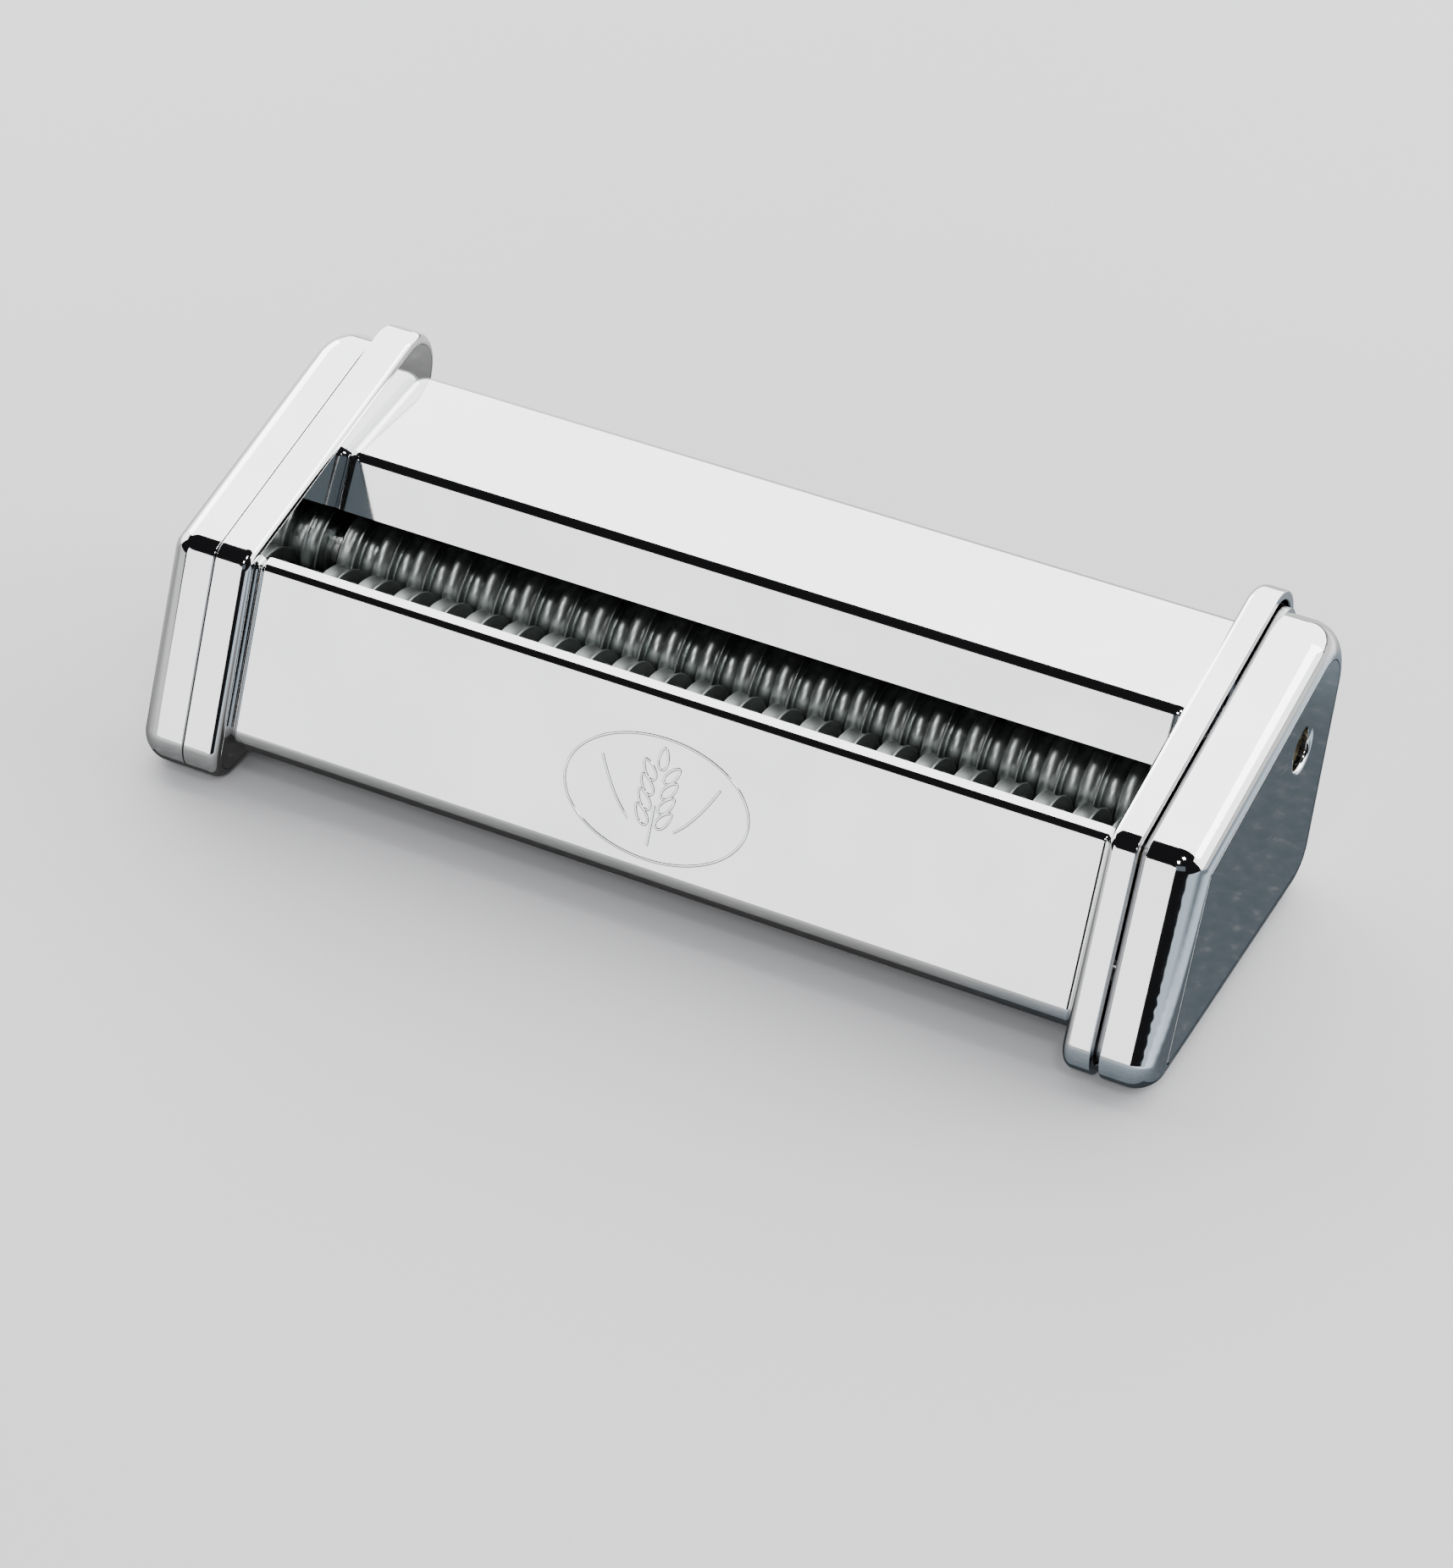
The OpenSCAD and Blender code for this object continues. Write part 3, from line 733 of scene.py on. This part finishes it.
def calc(operation, *values):
    """A math node in the floor's material, fed with numbers or other nodes' outputs."""
    node = floor_tree.nodes.new("ShaderNodeMath")
    node.operation = operation
    for socket, value in zip(node.inputs, values):
        if isinstance(value, (int, float)):
            socket.default_value = value
        else:
            floor_tree.links.new(value, socket)
    return node.outputs[0]


def fade(value, start, end, low, high):
    """Goes smoothly from low, where value is start, to high, where value is end."""
    node = floor_tree.nodes.new("ShaderNodeMapRange")
    node.interpolation_type = "SMOOTHSTEP"
    floor_tree.links.new(value, node.inputs["Value"])
    for socket, number in (("From Min", start), ("From Max", end), ("To Min", low), ("To Max", high)):
        node.inputs[socket].default_value = number
    return node.outputs["Result"]


floor_x, floor_y = floor_xyz.outputs["X"], floor_xyz.outputs["Y"]
before_front = calc("SUBTRACT", calc("MULTIPLY", floor_y, -1.0), cad_hi[1])
# painted highlights: the reflected stone brightens ahead of, behind and beside the object
ahead = calc("ADD", fade(before_front, *AHEAD), fade(before_front, *AHEAD_FAR))
behind = calc("MULTIPLY", fade(floor_y, *BEHIND), fade(floor_y, *BEHIND_FAR))
right = calc("MULTIPLY", fade(floor_x, *RIGHT), fade(floor_x, *RIGHT_FAR))
left = calc("MULTIPLY", fade(floor_x, *LEFT), fade(floor_y, *LEFT_AHEAD))
# painted shade: the reflected stone is darker under the object's footprint
under = calc("MULTIPLY", calc("LESS_THAN", calc("ABSOLUTE", floor_x), cad_hi[0]),
             calc("LESS_THAN", calc("ABSOLUTE", floor_y), cad_hi[1]))
around = calc("ADD", calc("MAXIMUM", ahead, behind), calc("ADD", right, left))
shade = calc("SUBTRACT", 1.0, calc("MULTIPLY", under, UNDER_SHADE))
strength = calc("MULTIPLY", calc("ADD", around, PAINTED_REFLECTION_BASE), shade)
# the glowing painted reflection of the stone, which only glossy rays see
painted_stone_reflection = floor_tree.nodes.new("ShaderNodeEmission")
speckle = ramp(floor_tree, noise(floor_tree, 420, detail=4, shift=2),
               [(0.35, (0.70, 0.86, 0.98)), (0.60, (0.84, 0.98, 1.10)), (0.72, (1.25, 1.35, 1.45))])
grey = floor_tree.nodes.new("ShaderNodeRGBToBW")
floor_tree.links.new(speckle, grey.inputs["Color"])
blue_right = floor_tree.nodes.new("ShaderNodeMixRGB")
greyness = calc("MAXIMUM", fade(floor_x, *GREY_LEFT), fade(floor_y, *GREY_BEHIND))
floor_tree.links.new(greyness, blue_right.inputs["Fac"])
floor_tree.links.new(speckle, blue_right.inputs["Color1"])
floor_tree.links.new(grey.outputs["Val"], blue_right.inputs["Color2"])
floor_tree.links.new(blue_right.outputs["Color"], painted_stone_reflection.inputs["Color"])
floor_tree.links.new(strength, painted_stone_reflection.inputs["Strength"])
floor_path = floor_tree.nodes.new("ShaderNodeLightPath")
floor_mix = floor_tree.nodes.new("ShaderNodeMixShader")
floor_tree.links.new(floor_path.outputs["Is Glossy Ray"], floor_mix.inputs["Fac"])
floor_tree.links.new(floor_shader.outputs["BSDF"], floor_mix.inputs[1])
floor_tree.links.new(painted_stone_reflection.outputs["Emission"], floor_mix.inputs[2])
floor_tree.links.new(floor_mix.outputs["Shader"], floor_tree.nodes["Material Output"].inputs["Surface"])
floor_mesh.materials.append(floor_material)
floor = bpy.data.objects.new("floor", floor_mesh)
bpy.context.scene.collection.objects.link(floor)


AIM = Vector((0, 0, 0.03))


def softbox(name, direction, distance, width, height, radiance, color=(1.0, 1.0, 1.0)):
    """An area light that faces the object, seen from it in that direction."""
    light = bpy.data.lights.new(name, "AREA")
    light.shape = "RECTANGLE"
    light.size, light.size_y = width, height
    light.energy = radiance * math.pi * width * height
    light.color = color
    box = bpy.data.objects.new(name, light)
    box.location = AIM + direction.normalized() * distance
    box.rotation_mode = "QUATERNION"
    box.rotation_quaternion = direction.normalized().to_track_quat("Z", "Y")
    box.visible_camera = False
    bpy.context.scene.collection.objects.link(box)


def toward(azimuth_deg, elevation_deg):
    """Direction at that bearing from +Y towards +X and that height above the horizon."""
    a, e = math.radians(azimuth_deg), math.radians(elevation_deg)
    return Vector((math.sin(a) * math.cos(e), math.cos(a) * math.cos(e), math.sin(e)))


softbox("back_box", toward(-6, 37.5), 1.6, 4.6, 2.2, 5.1)
softbox("left_box", toward(-68, 15), 1.7, 1.6, 0.9, 4.0)
softbox("right_box", toward(66, 22), 1.7, 1.3, 1.3, 4.0)
softbox("front_box", toward(-159, 13), 1.5, 1.5, 0.72, 2.85)
softbox("slot_box", toward(157, 24), 1.5, 0.9, 0.5, 0.20, (0.72, 0.89, 1.0))
softbox("spot_high", toward(130, 62), 1.3, 0.20, 0.20, 20)
softbox("spot_low", toward(165, 47), 1.3, 0.18, 0.18, 20)

# the studio is pale for the camera and for diffuse light; where the metal mirrors it, it is a painted
# dark reflection
world_data = bpy.data.worlds.new("studio")
bpy.context.scene.world = world_data
world_data.use_nodes = True
world_tree = world_data.node_tree
background = world_tree.nodes["Background"]
light_path = world_tree.nodes.new("ShaderNodeLightPath")
tint = world_tree.nodes.new("ShaderNodeMixRGB")
tint.inputs["Color1"].default_value = (0.75, 0.76, 0.78, 1)
tint.inputs["Color2"].default_value = (0.012, 0.012, 0.013, 1)
world_tree.links.new(light_path.outputs["Is Glossy Ray"], tint.inputs["Fac"])
world_tree.links.new(tint.outputs["Color"], background.inputs["Color"])
